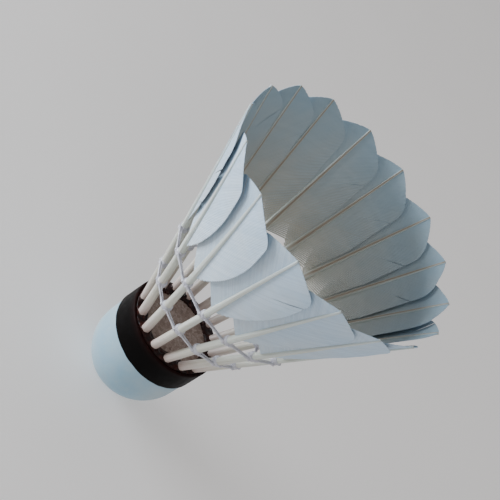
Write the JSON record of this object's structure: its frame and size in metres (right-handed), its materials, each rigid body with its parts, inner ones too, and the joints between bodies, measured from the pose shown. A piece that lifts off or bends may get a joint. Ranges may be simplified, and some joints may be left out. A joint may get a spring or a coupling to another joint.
{
  "type": "badminton shuttlecock",
  "caption": "Feather shuttlecock: a leather-covered cork head with a rim band, and a flared skirt of overlapping feathers lashed together with glued thread.",
  "frame": {"origin": "tip of the cork head's nose, at the bottom", "axes": "+Z along the shuttlecock's axis, from the nose towards the open mouth of the skirt; feather_shaft_01 leans over +X"},
  "size_m": [0.0656, 0.0656, 0.0848],
  "materials": {
    "cork": "matte",
    "leather": "satin",
    "band": "satin",
    "glue": "gloss",
    "thread": "satin",
    "quill": "satin",
    "vane": "satin"
  },
  "bodies": {
    "root": {"cork_nose": "cork", "cork_collar": "cork", "leather_cover": "leather", "rim_band": "band", "root_glue": "glue", "lower_thread": "thread", "upper_thread": "thread", "feather_shaft_01": "quill", "feather_shaft_02": "quill", "feather_shaft_03": "quill", "feather_shaft_04": "quill", "feather_shaft_05": "quill", "feather_shaft_06": "quill", "feather_shaft_07": "quill", "feather_shaft_08": "quill", "feather_shaft_09": "quill", "feather_shaft_10": "quill", "feather_shaft_11": "quill", "feather_shaft_12": "quill", "feather_shaft_13": "quill", "feather_shaft_14": "quill", "feather_shaft_15": "quill", "feather_shaft_16": "quill", "feather_vane_01": "vane", "feather_vane_02": "vane", "feather_vane_03": "vane", "feather_vane_04": "vane", "feather_vane_05": "vane", "feather_vane_06": "vane", "feather_vane_07": "vane", "feather_vane_08": "vane", "feather_vane_09": "vane", "feather_vane_10": "vane", "feather_vane_11": "vane", "feather_vane_12": "vane", "feather_vane_13": "vane", "feather_vane_14": "vane", "feather_vane_15": "vane", "feather_vane_16": "vane"}
  },
  "joints": []
}
